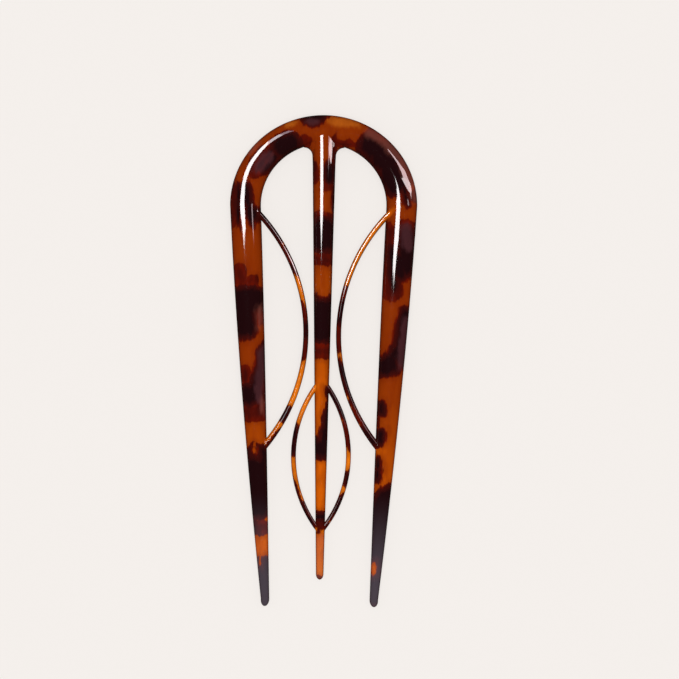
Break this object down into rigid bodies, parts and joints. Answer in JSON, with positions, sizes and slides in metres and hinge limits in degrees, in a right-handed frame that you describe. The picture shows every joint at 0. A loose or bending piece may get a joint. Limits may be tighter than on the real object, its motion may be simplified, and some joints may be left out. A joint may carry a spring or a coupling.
{
  "type": "french hair pin",
  "caption": "Flat-lying U-shaped hair pin with tapering outer legs, a centre prong, thin inward side bows and a leaf-shaped loop, in polished tortoiseshell acetate.",
  "frame": {"origin": "on the plane the pin lies on, under the middle of its overall length and width", "axes": "+X across the pin, +Y from the tips towards the crown, +Z from the flat back to the domed front"},
  "size_m": [0.0382, 0.1002, 0.0046],
  "materials": {
    "tortoise_acetate": "tumble-polished translucent cellulose acetate, amber with black-brown tortoiseshell blotches that have soft red-brown edges"
  },
  "bodies": {
    "root": {"hair_pin": "tortoise_acetate"}
  },
  "joints": []
}
